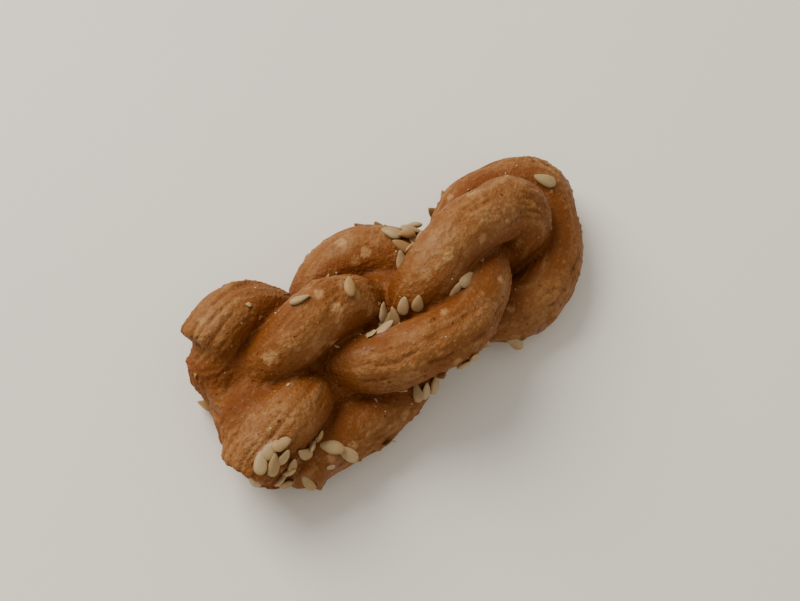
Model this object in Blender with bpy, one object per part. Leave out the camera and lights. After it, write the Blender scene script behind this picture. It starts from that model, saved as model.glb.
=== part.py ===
"""Fried dough twist: a rope of two dough strands, folded in two and twisted on itself, with sesame seeds.

+X runs along the twist from the cut end to the folded end, -Y is the near side and +Z is up.
The origin is under the middle of the twist, on the surface it lies on. Lengths are in metres.
"""
import math
import random

import bmesh
import bpy
import numpy as np
from mathutils import Euler, Matrix, Vector
from mathutils.bvhtree import BVHTree

MM = 0.001

# The rope: two strands that turn round each other, right-handed
STRAND_RADIUS = 3.8 * MM
PLY_RADIUS = 3.3 * MM
PLY_RATE = math.radians(17.0) / MM
PLY_PHASE = math.radians(21.0)
PLY_PHASE_STATION = 16.5 * MM

# The twist: the rope's two legs turn round the long axis, left-handed, slowly over the top
LEG_LENGTH = 41.6 * MM
TWIST_HALF_WIDTH = 6.4 * MM
TWIST_HALF_HEIGHT = 2.7 * MM
TWIST_RATE = math.radians(6.4) / MM
TWIST_UNEVENNESS = 0.09
TWIST_LEAN = -0.7 * MM
TWIST_SWELL = 0.05
TWIST_SWELL_LENGTH = 40.0 * MM
FOLD_PHASE = math.radians(134.0)

# The fold at the far end, where the rope turns back
FOLD_REACH = 6.8 * MM
FOLD_PLY_RATE = math.radians(7.0) / MM
FOLD_SHIFT = (1.0 * MM, -1.1 * MM)
FOLD_SHIFT_FROM = 32.0 * MM
FOLD_SHIFT_OVER = 12.0 * MM

# The cut end, for each strand: its place along, across and up, and the length it takes to get there
CUT_ENDS = {
    ("going", 0): (0.8 * MM, -9.4 * MM, -2.0 * MM, 13.0 * MM),
    ("going", 1): (4.8 * MM, 7.7 * MM, 1.6 * MM, 20.8 * MM),
    ("coming", 0): (0.0 * MM, 3.4 * MM, -2.4 * MM, 20.4 * MM),
    ("coming", 1): (-0.6 * MM, -6.2 * MM, -0.6 * MM, 13.5 * MM),
}

# Places where a strand was pressed out of line by hand: leg, strand, station, the press along, across and
# upwards, and its reach
PRESSED = {
    "top of the far lobe": ("going", 1, 9.0 * MM, Vector((0.0, 3.4, 3.7)) * MM, 5.0 * MM),
    "near end of the top lobe": ("going", 1, 13.8 * MM, Vector((0.0, 0.0, -1.8)) * MM, 2.5 * MM),
    "under the near lobe": ("coming", 1, 16.0 * MM, Vector((0.0, -2.7, -2.4)) * MM, 5.0 * MM),
    "rim of the fold": ("going", 1, 42.0 * MM, Vector((0.0, -2.2, 0.0)) * MM, 5.0 * MM),
    "far corner of the fold": ("going", 1, 49.7 * MM, Vector((2.5, -0.3, 0.0)) * MM, 2.3 * MM),
    "flat of the fold": ("coming", 1, 49.0 * MM, Vector((-1.4, 0.8, 0.0)) * MM, 2.4 * MM),
    "near corner of the fold": ("coming", 1, 40.0 * MM, Vector((0.0, -2.2, 0.0)) * MM, 4.5 * MM),
}

# Dough pressed against dough: strands that would overlap are pushed apart, a little squeezed
SQUEEZE = 0.83
PUSH_ROUNDS = 70
HOLD = 0.03
SMOOTHING = 0.15
OWN_STRAND_REACH = 13

# The routes: the pace along them, and how many paces two halves of a strand share at the fold
STEP = 1.1 * MM
PHASE_SUBSTEPS = 20
SOFTENING_ROUNDS = 6
OVERLAP = 2

# The underside, pressed level by the surface it cooled on
UNDERSIDE = -3.9 * MM
UNDERSIDE_SOFTNESS = 1.0 * MM

# The solid
TUBE_RESOLUTION = 4
WELD = 0.002 * MM
UNEVEN_SHARE = 0.04
UNEVEN_LENGTH = 17.0 * MM
UNEVEN_SLANT = 0.5
CUT_FACE_ROUNDING = 1.8 * MM
CUT_FACE_SHARE = 0.72
FLAT_DEPTH = 0.9 * MM
REACH_BEYOND = (2.2 * MM, 1.0 * MM, 0.0)
FLOOR_CUTTER = Vector((80.0, 50.0, 10.0)) * MM

# Dough pressed together where the strands would leave a gap: its middle, its half sizes, its turn in degrees
FILLINGS = {
    "between the strands": (Vector((24.0, -0.5, 0.2)) * MM, Vector((20.0, 6.5, 3.2)) * MM, 0.0),
    "across the cut end": (Vector((3.8, -0.3, -2.0)) * MM, Vector((4.6, 10.0, 2.9)) * MM, -18.0),
    "beside the far strand's cut": (Vector((4.2, 6.6, -0.2)) * MM, Vector((4.4, 3.9, 4.2)) * MM, 20.0),
    "above the cut corner": (Vector((4.0, -0.9, 1.2)) * MM, Vector((5.6, 3.4, 2.5)) * MM, 8.0),
}
FILLING_SIDES = 24
FILLING_RINGS = 14

# Sesame seeds: flat drops, sunk a little in the dough
SEED_LENGTH = 3.0 * MM
SEED_WIDTH = 2.2 * MM
SEED_THICKNESS = 1.1 * MM
SEED_TAPER = 0.55
SEED_SIZES = (0.78, 1.05)
SEED_RISE = 0.25 * MM
SEED_TILT = math.radians(18.0)
SEED_SWING = 20.0
SEED_CLIMB = 0.9
SEED_SIDES = 6
SEED_RINGS = 4

# Where seeds lie: a station along the twist, an angle round its long axis in degrees (0 is the near side,
# 90 the top, 180 the far side), and how far beside that axis. Each trail: its first place, its last place,
# how many seeds, how far they stray, and the heading they lie along in degrees (None: any)
AXIS_HEIGHT = 7.4 * MM
SEED_AXIS = Vector((0.8 * MM, -0.5 * MM, AXIS_HEIGHT))
OUTSIDE = 30.0 * MM
SEED_TRAILS = {
    "standing in the groove": ((-5.8 * MM, 62, 0.0), (-0.7 * MM, 68, 0.0), 2, 0.0, 53),
    "on the far shoulder": ((-12.9 * MM, 123, 0.0), (-6.8 * MM, 116, 0.0), 2, 0.0, 53),
    "at the groove's far end": ((4.0 * MM, 59, 0.0), (5.9 * MM, 61, 0.0), 2, 0.0, -22),
    "on the cut corner": ((-24.7 * MM, 32, 0.0), (-26.6 * MM, 24, 0.0), 6, 0.8 * MM, None),
    "below the cut corner": ((-23.5 * MM, 7, 0.0), (-25.4 * MM, -12, 0.0), 5, 0.7 * MM, None),
    "along the cut end's lower edge": ((-21.9 * MM, 14, 0.0), (-17.2 * MM, -5, 0.0), 8, 0.6 * MM, None),
    "under the cut end's lower edge": ((-22.4 * MM, -10, 0.0), (-19.4 * MM, -6, 0.0), 4, 0.5 * MM, None),
    "in the groove on top": ((-5.1 * MM, 75, 0.0), (-2.4 * MM, 66, 0.0), 6, 0.8 * MM, None),
    "in the gap behind the top lobe": ((1.8 * MM, 140, 0.0), (6.4 * MM, 163, 0.0), 9, 1.0 * MM, None),
    "below the near lobe": ((-6.8 * MM, 2, 0.0), (-3.2 * MM, -8, 0.0), 5, 0.4 * MM, 53),
    "along the near lobe's lower edge": ((-2.4 * MM, 12, 0.0), (1.4 * MM, 20, 0.0), 3, 0.6 * MM, 97),
    "on the folded end": ((24.3 * MM, 154, 0.0), (25.2 * MM, -150, 0.0), 2, 0.0, None),
    "low on the cut face": ((-25.8 * MM, -125, 0.0), (-27.6 * MM, -16, 0.0), 3, 0.4 * MM, None),
    "behind the cut end": ((-21.0 * MM, 178, 0.0), (-14.5 * MM, 200, 0.0), 5, 1.2 * MM, None),
    "in the groove behind": ((-4.0 * MM, 205, 0.0), (3.5 * MM, 190, 0.0), 6, 1.0 * MM, None),
    "under the fold": ((12.0 * MM, 200, 0.0), (19.0 * MM, 215, 0.0), 4, 1.0 * MM, None),
    "under the near side": ((4.0 * MM, -24, 0.0), (13.0 * MM, -16, 0.0), 4, 0.8 * MM, None),
}
SEED_SPACING = 1.15 * MM
SEED_NEIGHBOUR = 2.2 * MM
SEED_STACK = 0.16 * MM
SEED_TRIES = 30
SEED_RANDOM = 12

# The look of the crust
CRUST_COLOUR = (0.37, 0.145, 0.036, 1.0)
CRUST_ROUGHNESS = 0.42
SHARP_ANGLE = math.radians(50.0)


def smoothstep(x):
    x = np.clip(x, 0.0, 1.0)
    return x * x * (3.0 - 2.0 * x)


def unit(vectors):
    return vectors / np.linalg.norm(vectors, axis=1, keepdims=True)


def leg_phases(end_phase, count):
    """A leg's angle round the long axis at each station, worked out back from the fold."""
    phases = [end_phase]
    fine = LEG_LENGTH / (count - 1) / PHASE_SUBSTEPS
    for _ in range(count - 1):
        phase = phases[-1]
        for _ in range(PHASE_SUBSTEPS):
            phase -= fine * TWIST_RATE * (1.0 - TWIST_UNEVENNESS * math.sin(phase))
        phases.append(phase)
    return np.array(phases[::-1])


def leg_route(end_phase):
    """Centre line of one leg of the rope, and the direction that points out from the long axis."""
    stations = np.linspace(0.0, LEG_LENGTH, int(round(LEG_LENGTH / STEP)) + 1)
    phases = leg_phases(end_phase, len(stations))
    near = -np.cos(phases)
    above = np.sin(phases)
    centre = np.stack([stations, TWIST_HALF_WIDTH * near, TWIST_HALF_HEIGHT * above], 1)
    outward = np.stack([0.0 * stations, near / TWIST_HALF_WIDTH, above / TWIST_HALF_HEIGHT], 1)
    return centre, unit(outward)


def fold_route():
    """Half turn of the rope from the end of one leg to the end of the other."""
    count = int(math.pi * FOLD_REACH / STEP)
    turn = np.linspace(0.0, math.pi, count + 2)[1:-1]
    out, aside = np.sin(turn), np.cos(turn)
    start = np.array([-TWIST_HALF_WIDTH * math.cos(FOLD_PHASE), TWIST_HALF_HEIGHT * math.sin(FOLD_PHASE)])
    across, up = start / np.linalg.norm(start)
    centre = np.stack([LEG_LENGTH + FOLD_REACH * out, start[0] * aside, start[1] * aside], 1)
    outward = np.stack([out, across * aside, up * aside], 1)
    return centre, outward


def rope_route():
    """The whole rope: out along one leg, round the fold, back along the other."""
    going = leg_route(FOLD_PHASE)
    fold = fold_route()
    coming = leg_route(FOLD_PHASE + math.pi)
    centre = np.concatenate([going[0], fold[0], coming[0][::-1]])
    outward = np.concatenate([going[1], fold[1], coming[1][::-1]])
    for _ in range(SOFTENING_ROUNDS):
        for line in (centre, outward):
            line[1:-1] = 0.25 * line[:-2] + 0.5 * line[1:-1] + 0.25 * line[2:]
    along = unit(np.gradient(centre, axis=0))
    outward = unit(outward)
    outward = unit(outward - along * np.sum(outward * along, 1, keepdims=True))
    return centre, outward, np.cross(along, outward), len(going[0]), len(fold[0])


def ply_angles(centre, leg_count, fold_count):
    """The first strand's angle round the rope at each point of the route."""
    paces = np.linalg.norm(np.diff(centre, axis=0), axis=1)
    turns = np.full(len(paces), PLY_RATE * STEP)
    fold = slice(leg_count - 1, leg_count + fold_count)
    turns[fold] = FOLD_PLY_RATE * paces[fold]
    angles = np.concatenate([[0.0], np.cumsum(turns)])
    return angles - angles[int(round(PLY_PHASE_STATION / STEP))] + PLY_PHASE


def lay_by_hand(route, strand, going):
    """Brings a strand's two ends to their places at the cut end, and presses it where it was pressed."""
    route = route.copy()
    swell = np.sin(route[:, 0] * math.tau / TWIST_SWELL_LENGTH)
    route[:, 1] = route[:, 1] * (1.0 + TWIST_SWELL * swell) + TWIST_LEAN
    for leg, chosen in (("going", going), ("coming", ~going)):
        *place, reach = CUT_ENDS[leg, strand]
        pull = 1.0 - smoothstep(route[chosen, 0] / reach)
        for axis, target in enumerate(place):
            start = 0.0 if axis == 0 else route[chosen, axis]
            route[chosen, axis] += (target - start) * pull
        stations = route[chosen, 0]
        for pressed_leg, pressed_strand, station, press, length in PRESSED.values():
            if (pressed_leg, pressed_strand) == (leg, strand):
                share = np.exp(-((stations - station) / length) ** 2)
                route[chosen] += share[:, None] * np.array(press)
    shift = smoothstep((route[:, 0] - FOLD_SHIFT_FROM) / FOLD_SHIFT_OVER)
    route[:, 1] += FOLD_SHIFT[0] * shift
    route[:, 2] += FOLD_SHIFT[1] * shift
    return route


def push_apart(routes):
    """Pushes strands that overlap apart, and keeps each one smooth."""
    sizes = [len(route) for route in routes]
    points = np.concatenate(routes)
    wanted = points.copy()
    strand = np.repeat(np.arange(len(routes)), sizes)
    place = np.concatenate([np.arange(size) for size in sizes])
    own = (strand[:, None] == strand) & (np.abs(place[:, None] - place) < OWN_STRAND_REACH)
    clearance = 2.0 * STRAND_RADIUS * SQUEEZE
    ends = np.cumsum([0] + sizes)
    for _ in range(PUSH_ROUNDS):
        apart = points[:, None, :] - points[None, :, :]
        distance = np.linalg.norm(apart, axis=2) + 1e-12
        overlap = np.clip(clearance - distance, 0.0, None)
        overlap[own] = 0.0
        push = (apart * (overlap / distance)[:, :, None]).sum(1)
        points = points + 0.5 * push / np.maximum((overlap > 0.0).sum(1), 1)[:, None]
        points += HOLD * (wanted - points)
        for first, last in zip(ends[:-1], ends[1:]):
            line = points[first:last]
            line[1:-1] += SMOOTHING * (0.5 * (line[:-2] + line[2:]) - line[1:-1])
    return [points[first:last] for first, last in zip(ends[:-1], ends[1:])]


def press_underside(route):
    """Lifts what would hang below the level underside."""
    above = route[:, 2] - UNDERSIDE
    route[:, 2] = UNDERSIDE + 0.5 * (above + np.sqrt(above**2 + UNDERSIDE_SOFTNESS**2))
    return route


def strand_routes():
    """Centre lines of the four visible strands, each from the cut end to the middle of the fold."""
    centre, outward, sideways, leg_count, fold_count = rope_route()
    angles = ply_angles(centre, leg_count, fold_count)[:, None]
    offset = PLY_RADIUS * (np.cos(angles) * outward + np.sin(angles) * sideways)
    middle = leg_count + fold_count // 2
    going = np.arange(len(centre)) < middle
    laid = [lay_by_hand(centre + side * offset, strand, going) for strand, side in ((0, 1), (1, -1))]
    routes = []
    for route in push_apart(laid):
        for line in (route[:middle + OVERLAP + 1], route[middle - OVERLAP:][::-1]):
            routes.append(press_underside(line.copy()))
    return routes


def place_in_frame(routes):
    """The move that brings the twist's middle over the origin and its flat spots down to it."""
    points = np.concatenate(routes)
    low, high = points.min(0), points.max(0)
    middle = 0.5 * (low + high + np.array(REACH_BEYOND))
    return Vector((-middle[0], -middle[1], STRAND_RADIUS - FLAT_DEPTH - low[2]))


def add_object(name, mesh, collection):
    item = bpy.data.objects.new(name, mesh)
    collection.objects.link(item)
    return item


def evaluated_mesh(item):
    bpy.context.view_layer.update()
    return bpy.data.meshes.new_from_object(item.evaluated_get(bpy.context.evaluated_depsgraph_get()))


def strand_shares(route):
    """How thick a strand is along its route, as a share of its radius: uneven, and drawn in at its ends."""
    steps = np.arange(len(route)) * STEP
    from_end = np.minimum(steps, steps[::-1])
    drawn_in = CUT_FACE_SHARE + (1.0 - CUT_FACE_SHARE) * smoothstep(from_end / CUT_FACE_ROUNDING)
    slanted = route[:, 0] + UNEVEN_SLANT * route[:, 1]
    return drawn_in * (1.0 + UNEVEN_SHARE * np.sin(slanted * math.tau / UNEVEN_LENGTH))


def strand_tube(name, route, collection):
    """One strand as a closed tube."""
    curve = bpy.data.curves.new(name, "CURVE")
    curve.dimensions = "3D"
    curve.bevel_depth = STRAND_RADIUS
    curve.bevel_resolution = TUBE_RESOLUTION
    curve.use_fill_caps = True
    spline = curve.splines.new("POLY")
    spline.points.add(len(route) - 1)
    for point, place, share in zip(spline.points, route, strand_shares(route)):
        point.co = (*place, 1.0)
        point.radius = share
    bent = bpy.data.objects.new(name, curve)
    collection.objects.link(bent)
    mesh = evaluated_mesh(bent)
    bpy.data.objects.remove(bent)
    shape = bmesh.new()
    shape.from_mesh(mesh)
    bmesh.ops.remove_doubles(shape, verts=shape.verts, dist=WELD)
    bmesh.ops.recalc_face_normals(shape, faces=shape.faces)
    shape.to_mesh(mesh)
    shape.free()
    return add_object(name, mesh, collection)


def primitive(name, create, place, collection, **sizes):
    """A ball or a block, stretched and put in its place."""
    shape = bmesh.new()
    create(shape, **sizes)
    shape.transform(place)
    mesh = bpy.data.meshes.new(name)
    shape.to_mesh(mesh)
    shape.free()
    return add_object(name, mesh, collection)


def join_pieces(body, pieces, operation="UNION"):
    """Joins a collection's pieces to a body, or cuts them from it, and removes them."""
    joining = body.modifiers.new("join", "BOOLEAN")
    joining.operation = operation
    joining.operand_type = "COLLECTION"
    joining.collection = pieces
    joining.solver = "MANIFOLD"
    joined = evaluated_mesh(body)
    body.modifiers.clear()
    body.data = joined
    for piece in list(pieces.objects):
        bpy.data.objects.remove(piece)


def keep_outer_skin(body):
    """Fills sealed hollows and drops loose scraps: only the largest closed skin stays."""
    shape = bmesh.new()
    shape.from_mesh(body.data)
    left = set(shape.faces)
    skins = []
    while left:
        front = [left.pop()]
        skin = []
        while front:
            face = front.pop()
            skin.append(face)
            near = {other for edge in face.edges for other in edge.link_faces} & left
            left -= near
            front.extend(near)
        skins.append(skin)
    skins.sort(key=len)
    for skin in skins[:-1]:
        bmesh.ops.delete(shape, geom=skin, context="FACES")
    shape.to_mesh(body.data)
    shape.free()


def seed_places():
    """Each seed's station, angle, distance beside the axis, rise on others and heading, from the trails."""
    draw = random.Random(SEED_RANDOM)
    places, spots = [], []
    for first, last, count, stray, heading in SEED_TRAILS.values():
        for number in range(count):
            share = number / (count - 1)
            station, angle, beside = (start + (end - start) * share for start, end in zip(first, last))
            angle = math.radians(angle)
            swing = draw.uniform(0.0, 180.0)
            if heading is not None:
                swing = heading + draw.uniform(-SEED_SWING, SEED_SWING)
            for _ in range(SEED_TRIES):
                place = (station + draw.uniform(-stray, stray), angle, beside + draw.uniform(-stray, stray))
                spot = Vector((place[0], angle * AXIS_HEIGHT + place[2]))
                apart = [(spot - other).length for other in spots]
                if min(apart, default=SEED_SPACING) >= SEED_SPACING:
                    below = sum(distance < SEED_NEIGHBOUR for distance in apart)
                    places.append((*place, SEED_RISE + SEED_STACK * below, math.radians(swing)))
                    spots.append(spot)
                    break
    return places


def lying(normal, heading):
    """A seed's turn: flat side on the surface, length along the heading, and uphill on steep sides."""
    length = Vector((math.cos(heading), math.sin(heading), SEED_CLIMB))
    length = (length - normal * normal.dot(length)).normalized()
    return Matrix((normal.cross(length), normal, length)).transposed()


def sesame_seed(name, place, collection):
    """A flat drop: a stretched ball, narrower towards one tip, moved to its place."""
    stretch = Matrix.Diagonal((SEED_WIDTH, SEED_THICKNESS, SEED_LENGTH, 1.0))
    seed = primitive(name, bmesh.ops.create_uvsphere, stretch, collection,
                     u_segments=SEED_SIDES, v_segments=SEED_RINGS, radius=0.5)
    for vertex in seed.data.vertices:
        narrowing = 1.0 - SEED_TAPER * (vertex.co.z / SEED_LENGTH + 0.5)
        vertex.co.x *= narrowing
        vertex.co.y *= narrowing
    seed.data.transform(place)


def scatter_seeds(dough, collection):
    """Lays each seed on the dough, turned and tilted at random."""
    corners = [vertex.co for vertex in dough.data.vertices]
    surface = BVHTree.FromPolygons(corners, [face.vertices for face in dough.data.polygons])
    draw = random.Random(SEED_RANDOM + 1)
    for number, (station, angle, beside, rise, heading) in enumerate(seed_places()):
        tilt = Matrix.Rotation(draw.uniform(-SEED_TILT, SEED_TILT), 3, "X")
        size = Vector([draw.uniform(*SEED_SIZES) for _ in range(3)])
        outward = Vector((0.0, -math.cos(angle), math.sin(angle)))
        aside = Vector((0.0, math.sin(angle), math.cos(angle)))
        passed = SEED_AXIS + Vector((station, 0.0, 0.0)) + aside * beside
        spot, normal, _, _ = surface.ray_cast(passed + outward * OUTSIDE, -outward)
        if spot is None:
            continue
        facing = lying(normal, heading) @ tilt
        place = Matrix.LocRotScale(spot + normal * rise, facing, size)
        sesame_seed("seed_%d" % number, place, collection)


def finish_surface(item):
    """Rounded stretches are shaded smooth, creases stay sharp."""
    crust = bpy.data.materials.new("fried_crust")
    crust.use_nodes = True
    shader = crust.node_tree.nodes["Principled BSDF"]
    shader.inputs["Base Color"].default_value = CRUST_COLOUR
    shader.inputs["Roughness"].default_value = CRUST_ROUGHNESS
    shader.inputs["Metallic"].default_value = 0.0
    item.data.materials.clear()
    item.data.materials.append(crust)
    item.data.shade_smooth()
    item.data.set_sharp_from_angle(angle=SHARP_ANGLE)


def main():
    for item in list(bpy.data.objects):
        bpy.data.objects.remove(item)
    finished = bpy.data.collections.new("fried_dough_twist")
    pieces = bpy.data.collections.new("pieces_to_join")
    for collection in (finished, pieces):
        bpy.context.scene.collection.children.link(collection)
    routes = strand_routes()
    dough = strand_tube("dough_twist", routes[0], finished)
    for number, route in enumerate(routes[1:]):
        strand_tube("strand_%d" % number, route, pieces)
    for name, (middle, radii, turn) in FILLINGS.items():
        place = Matrix.LocRotScale(middle, Euler((0.0, 0.0, math.radians(turn))), radii)
        primitive(name, bmesh.ops.create_uvsphere, place, pieces,
                  u_segments=FILLING_SIDES, v_segments=FILLING_RINGS, radius=1.0)
    join_pieces(dough, pieces)
    dough.data.transform(Matrix.Translation(place_in_frame(routes)))
    scatter_seeds(dough, pieces)
    join_pieces(dough, pieces)
    below = Matrix.LocRotScale(Vector((0.0, 0.0, -0.5 * FLOOR_CUTTER.z)), None, FLOOR_CUTTER)
    primitive("floor_cutter", bmesh.ops.create_cube, below, pieces, size=1.0)
    join_pieces(dough, pieces, "DIFFERENCE")
    keep_outer_skin(dough)
    finish_surface(dough)


main()
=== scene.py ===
"""Looks of a small fried dough twist with sesame seeds.

The twist is a rope of two dough strands, folded in two and twisted on itself. Its cut end is at -X, its
folded end at +X, its near side at -Y, and it lies on the floor at z = 0. Lengths are in metres.
"""

import math
import random

import bmesh
import bpy
import numpy as np
from mathutils import Euler, Matrix, Vector
from mathutils.bvhtree import BVHTree


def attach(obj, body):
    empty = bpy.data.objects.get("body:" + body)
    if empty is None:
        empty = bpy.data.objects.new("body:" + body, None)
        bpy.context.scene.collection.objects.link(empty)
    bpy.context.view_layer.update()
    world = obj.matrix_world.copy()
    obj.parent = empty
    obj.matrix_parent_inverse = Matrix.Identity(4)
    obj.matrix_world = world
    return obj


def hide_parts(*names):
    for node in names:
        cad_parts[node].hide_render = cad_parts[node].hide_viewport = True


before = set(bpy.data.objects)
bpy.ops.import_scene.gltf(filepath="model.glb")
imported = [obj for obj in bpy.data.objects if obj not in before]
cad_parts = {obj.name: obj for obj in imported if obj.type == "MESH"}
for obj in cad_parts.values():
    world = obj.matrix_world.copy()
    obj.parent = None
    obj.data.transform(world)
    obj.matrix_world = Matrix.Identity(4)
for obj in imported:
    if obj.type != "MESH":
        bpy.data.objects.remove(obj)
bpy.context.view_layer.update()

MM = 0.001

# ---- The shape of the twist, as its solid has it ----

# The rope: two strands that turn round each other, right-handed
STRAND_RADIUS = 3.8 * MM
PLY_RADIUS = 3.3 * MM
PLY_RATE = math.radians(17.0) / MM
PLY_PHASE = math.radians(21.0)
PLY_PHASE_STATION = 16.5 * MM

# The twist: the rope's two legs turn round the long axis, left-handed, slowly over the top
LEG_LENGTH = 41.6 * MM
TWIST_HALF_WIDTH = 6.4 * MM
TWIST_HALF_HEIGHT = 2.7 * MM
TWIST_RATE = math.radians(6.4) / MM
TWIST_UNEVENNESS = 0.09
TWIST_LEAN = -0.7 * MM
TWIST_SWELL = 0.05
TWIST_SWELL_LENGTH = 40.0 * MM
FOLD_PHASE = math.radians(134.0)

# The fold at the far end, where the rope turns back
FOLD_REACH = 6.8 * MM
FOLD_PLY_RATE = math.radians(7.0) / MM
FOLD_SHIFT = (1.0 * MM, -1.1 * MM)
FOLD_SHIFT_FROM = 32.0 * MM
FOLD_SHIFT_OVER = 12.0 * MM

# The cut end, for each strand: its place along, across and up, and the length it takes to get there
CUT_ENDS = {
    ("going", 0): (0.8 * MM, -9.4 * MM, -2.0 * MM, 13.0 * MM),
    ("going", 1): (4.8 * MM, 7.7 * MM, 1.6 * MM, 20.8 * MM),
    ("coming", 0): (0.0 * MM, 3.4 * MM, -2.4 * MM, 20.4 * MM),
    ("coming", 1): (-0.6 * MM, -6.2 * MM, -0.6 * MM, 13.5 * MM),
}

# Places where a strand was pressed out of line by hand: leg, strand, station, the press along, across and
# upwards, and its reach
PRESSED = {
    "top of the far lobe": ("going", 1, 9.0 * MM, Vector((0.0, 3.4, 3.7)) * MM, 5.0 * MM),
    "near end of the top lobe": ("going", 1, 13.8 * MM, Vector((0.0, 0.0, -1.8)) * MM, 2.5 * MM),
    "under the near lobe": ("coming", 1, 16.0 * MM, Vector((0.0, -2.7, -2.4)) * MM, 5.0 * MM),
    "rim of the fold": ("going", 1, 42.0 * MM, Vector((0.0, -2.2, 0.0)) * MM, 5.0 * MM),
    "far corner of the fold": ("going", 1, 49.7 * MM, Vector((2.5, -0.3, 0.0)) * MM, 2.3 * MM),
    "flat of the fold": ("coming", 1, 49.0 * MM, Vector((-1.4, 0.8, 0.0)) * MM, 2.4 * MM),
    "near corner of the fold": ("coming", 1, 40.0 * MM, Vector((0.0, -2.2, 0.0)) * MM, 4.5 * MM),
}

# Dough pressed against dough: strands that would overlap are pushed apart, a little squeezed
SQUEEZE = 0.83
PUSH_ROUNDS = 70
HOLD = 0.03
SMOOTHING = 0.15
OWN_STRAND_REACH = 13

# The routes: the pace along them
STEP = 1.1 * MM
PHASE_SUBSTEPS = 20
SOFTENING_ROUNDS = 6

# The underside, pressed level by the surface it cooled on
UNDERSIDE = -3.9 * MM
UNDERSIDE_SOFTNESS = 1.0 * MM
FLAT_DEPTH = 0.9 * MM
REACH_BEYOND = (2.2 * MM, 1.0 * MM, 0.0)

# How thick the strands are along their length
UNEVEN_SHARE = 0.04
UNEVEN_LENGTH = 17.0 * MM
UNEVEN_SLANT = 0.5
CUT_FACE_ROUNDING = 1.8 * MM
CUT_FACE_SHARE = 0.72

# Dough pressed together where the strands would leave a gap: its middle, its half sizes, its turn in degrees
FILLINGS = {
    "between the strands": (Vector((24.0, -0.5, 0.2)) * MM, Vector((20.0, 6.5, 3.2)) * MM, 0.0),
    "across the cut end": (Vector((3.8, -0.3, -2.0)) * MM, Vector((4.6, 10.0, 2.9)) * MM, -18.0),
    "beside the far strand's cut": (Vector((4.2, 6.6, -0.2)) * MM, Vector((4.4, 3.9, 4.2)) * MM, 20.0),
    "above the cut corner": (Vector((4.0, -0.9, 1.2)) * MM, Vector((5.6, 3.4, 2.5)) * MM, 8.0),
}

# ---- The surface ----

# Fineness of the dough
FINE_STEPS = 4
STRAND_SIDES = 40
SKIN_SIZE = 0.25 * MM
EVENING_ROUNDS = 3
EVENING_SHARE = 0.5
POINTS_AT_ONCE = 4000

# Creases between strands: how far from one the dough still dips, how deep, and where open dough begins
CREASE_WIDTH = 0.5 * MM
CREASE_DEPTH = 0.4 * MM
CREASE_ROUNDS = 2
OPEN_GAP = 5.5 * MM
STRAND_GRAIN_APART = 1000

# The cut end, where the strands are pressed into one
PRESSED_END_LENGTH = 5.0 * MM
PRESSED_END_REACH = 6.5 * MM
PRESSED_END_ROUNDS = 40
PRESSED_END_DIP = 0.5
PRESSED_END_RELIEF = 0.8
FLOOR_SOFTNESS = 0.12 * MM

# What frying did to the skin
RELIEF = {
    "Lump Size": 4.6 * MM, "Lump Height": 0.9 * MM,
    "Wrinkle Spacing": 1.7 * MM, "Wrinkle Length": 6.0 * MM, "Wrinkle Depth": 0.26 * MM,
    "Blister Size": 1.5 * MM, "Blister Height": 0.22 * MM,
    "Pimple Size": 0.8 * MM, "Pimple Height": 0.15 * MM, "Glaze Spacing": 2.6 * MM,
}

# Where it did so: each range eases from nothing to full, in shares of a pattern or of its cells
FURROW = (0.0, 0.07)
WRINKLED_AREAS, WRINKLED_FINENESS = (0.42, 0.58), 1.3
DOME = (0.12, 0.5)
CROWDED_AREAS = (0.35, 0.65)
DOME_ONSET = (0.0, 0.25)
RISEN = {"Blister": (0.80, 0.9), "Pimple": (1.24, 1.7)}  # the most that rise, and how finely they cluster
GLAZE_SPOT, GLAZE_CHOSEN = (0.18, 0.34), (0.72, 0.85)
GLAZE_FRAYED, GLAZE_FRAYED_FINENESS = 0.5, 1.2
NEAR_CREASE = (0.75, 0.05)
FACING_UP = (-0.3, 0.6)
STICKY_AREAS, STICKY_FINENESS = (0.40, 0.66), 0.9
SUGAR_IN_THE_OPEN = 0.35

# How the glaze gathers round the seeds; the reach is also that of the darker ring round them, partly painted
# shade
GATHERING = {"Reach": 0.55 * MM, "Rise": 0.16 * MM}

# ---- Sesame seeds ----

SEED_FORM = {"Length": 3.0 * MM, "Width": 2.2 * MM, "Thickness": 1.1 * MM, "Taper": 0.55,
             "Unevenness": 0.35 * MM}
SEED_SIZES = (0.78, 1.05)
SEED_RISE = 0.25 * MM
SEED_TILT = math.radians(18.0)
SEED_SWING = 20.0
SEED_CLIMB = 0.9
SEED_SIDES = 18
SEED_RINGS = 12
SEED_DENTS_PER_METRE = 620.0
SEEDS_WITHIN = 11.9 * MM

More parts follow.
